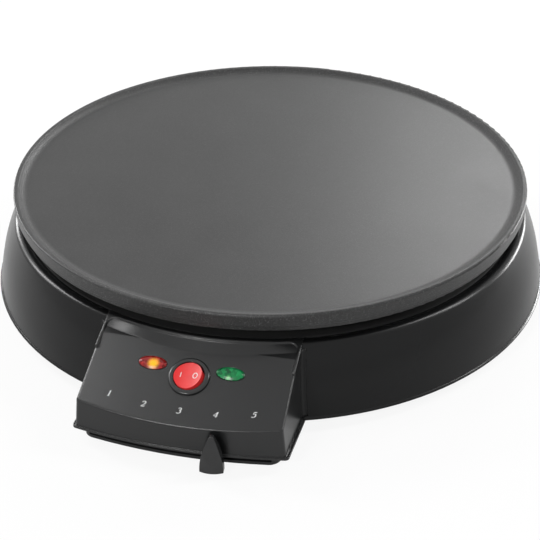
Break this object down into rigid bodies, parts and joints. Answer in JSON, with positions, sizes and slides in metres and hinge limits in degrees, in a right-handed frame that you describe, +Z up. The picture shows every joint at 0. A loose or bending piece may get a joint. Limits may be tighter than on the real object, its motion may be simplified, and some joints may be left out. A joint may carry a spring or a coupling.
{
  "type": "electric crepe maker",
  "caption": "Round hotplate with a low raised rim on a flared base; a wedge-shaped housing in front carries a rocker switch, indicator lamps and a sliding temperature lever.",
  "frame": {"origin": "on the hotplate's axis at table level, where the feet stand", "axes": "+Z up along the hotplate's axis; the control housing faces -Y; +X is to the right of someone facing the controls"},
  "size_m": [0.3344, 0.378, 0.0688],
  "materials": {
    "nonstick_coating": "satin non-stick coating, fine grain",
    "element_sheath": "matt oxidised steel tube",
    "ceramic": "unglazed",
    "plated_steel": "zinc plated",
    "screw_steel": "zinc plated",
    "black_sheet": "matt black heat-proof paint",
    "base_plastic": "semi-gloss moulding",
    "housing_plastic": "satin moulding",
    "cover_plastic": "matt moulding",
    "foot_rubber": "matt",
    "brass": "plain",
    "knob_plastic": "semi-gloss",
    "bezel_plastic": "gloss",
    "rocker_red": "gloss, lit from inside",
    "red_lens": "clear red, lit",
    "green_lens": "clear green",
    "bulb_glass": "clear",
    "block_plastic": "matt",
    "earth_insulation": "green and yellow sleeve",
    "neutral_insulation": "blue sleeve",
    "live_insulation": "brown sleeve"
  },
  "bodies": {
    "root": {"base_housing": "base_plastic", "bottom_cover": "cover_plastic", "clamp_screws": "screw_steel", "control_housing": "housing_plastic", "cord_clamp": "cover_plastic", "cord_clamp_screws": "screw_steel", "cord_gland": "cover_plastic", "cover_screws": "screw_steel", "earth_lead": "earth_insulation", "earth_screw": "screw_steel", "earth_tag": "brass", "element_clamps": "plated_steel", "element_lead": "live_insulation", "element_pins": "plated_steel", "element_seals": "ceramic", "fuse_clip": "plated_steel", "fuse_screw": "screw_steel", "heat_shield": "black_sheet", "heating_element": "element_sheath", "hotplate": "nonstick_coating", "hotplate_screws": "screw_steel", "lamp_bulbs": "bulb_glass", "lamp_holders": "cover_plastic", "live_lead": "live_insulation", "neutral_lead": "neutral_insulation", "power_lamp_lens": "red_lens", "ready_lamp_lens": "green_lens", "rubber_feet": "foot_rubber", "switch_bezel": "bezel_plastic", "switch_lead": "live_insulation", "switch_terminals": "brass", "terminal_block": "block_plastic", "terminal_screws": "brass", "thermal_fuse": "ceramic", "thermostat_body": "ceramic", "thermostat_bracket": "plated_steel", "thermostat_bushing": "brass", "thermostat_screws": "screw_steel", "thermostat_terminals": "plated_steel"},
    "lever": {"thermostat_shaft": "screw_steel", "lever_arm": "plated_steel", "lever_clip": "plated_steel", "lever_knob": "knob_plastic"},
    "rocker": {"switch_rocker": "rocker_red"}
  },
  "joints": [
    {"name": "temperature_lever", "type": "hinge", "parent": "root", "child": "lever", "pos_m": [0, -0.045, 0.02], "axis": [0, 0, 1], "range_deg": [-23.25, 7.75]},
    {"name": "power_rocker", "type": "hinge", "parent": "root", "child": "rocker", "pos_m": [0, -0.17194, 0.03672], "axis": [0, 0.9026, 0.4305], "range_deg": [0, 16]}
  ]
}
